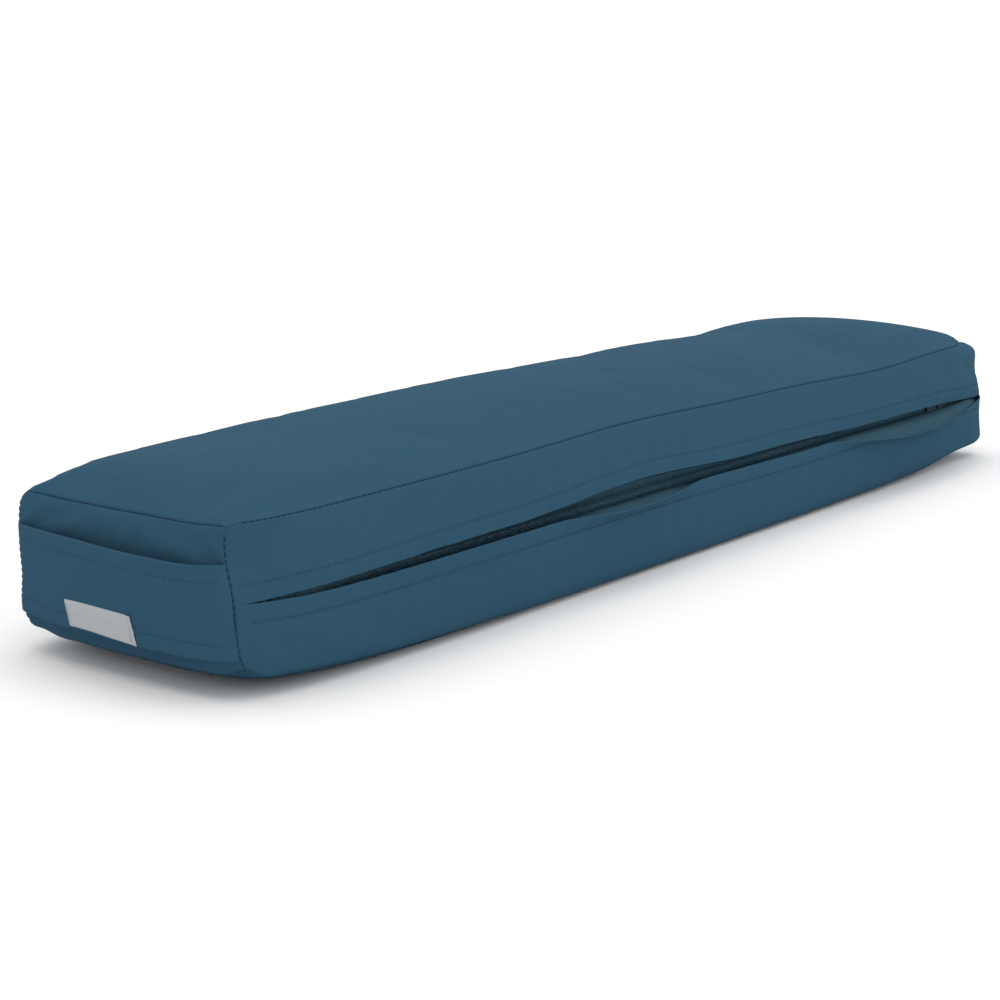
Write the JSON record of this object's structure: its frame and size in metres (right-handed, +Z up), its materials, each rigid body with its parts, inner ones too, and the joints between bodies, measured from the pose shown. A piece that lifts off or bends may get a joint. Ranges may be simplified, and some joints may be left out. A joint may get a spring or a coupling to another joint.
{
  "type": "rectangular yoga bolster",
  "caption": "Slim box-shaped yoga bolster: firm batting in a muslin liner, in a canvas cover with a long side zip and a carrying band across one end.",
  "frame": {"origin": "on the surface that the bolster lies on, under the middle of its overall box, handle band included", "axes": "+X along the length, away from the handle end; -Y towards the zip side; +Z up from the face it lies on to the crowned face"},
  "size_m": [0.7295, 0.1733, 0.1024],
  "materials": {
    "canvas": "matt plain-weave cotton canvas, deep blue-green",
    "label": "woven satin label, grey, left blank",
    "zip_tape": "woven polyester zip tape, matt",
    "zip_coil": "nylon coil, slight sheen",
    "thread": "polyester sewing thread",
    "zip_metal": "dark enamelled zinc casting, satin",
    "muslin": "unbleached cotton muslin",
    "cotton": "loose cotton batting"
  },
  "bodies": {
    "cover": {"cover_top_panel": "canvas", "cover_bottom_panel": "canvas", "cover_rear_side_panel": "canvas", "cover_zip_side_upper_strip": "canvas", "cover_zip_side_lower_strip": "canvas", "cover_handle_end_panel": "canvas", "cover_far_end_panel": "canvas", "zip_upper_tape": "zip_tape", "zip_lower_tape": "zip_tape", "zip_upper_coil": "zip_coil", "zip_lower_coil": "zip_coil", "zip_near_bar_tack": "thread", "zip_far_bar_tack": "thread", "liner_top_panel": "muslin", "liner_bottom_panel": "muslin", "liner_rear_boxing": "muslin", "liner_front_boxing": "muslin", "liner_handle_end_panel": "muslin", "liner_far_end_panel": "muslin", "batting_lower_layer": "cotton", "batting_middle_layer": "cotton", "batting_upper_layer": "cotton"},
    "handle": {"handle_band": "canvas", "woven_label": "label"},
    "zip_slider": {"zip_slider_body": "zip_metal"},
    "pull_tab": {"zip_pull_tab": "zip_metal"}
  },
  "joints": [
    {"name": "zip_slide", "type": "slide", "parent": "cover", "child": "zip_slider", "axis": [-1, 0, 0], "range_m": [0, 0.57]},
    {"name": "tab_swing", "type": "hinge", "parent": "zip_slider", "child": "pull_tab", "pos_m": [0.285, -0.08253, 0.0449], "axis": [0, 0, 1], "range_deg": [0, 180]},
    {"name": "handle_pull", "type": "slide", "parent": "cover", "child": "handle", "axis": [-1, 0, 0], "range_m": [0, 0.016]}
  ]
}
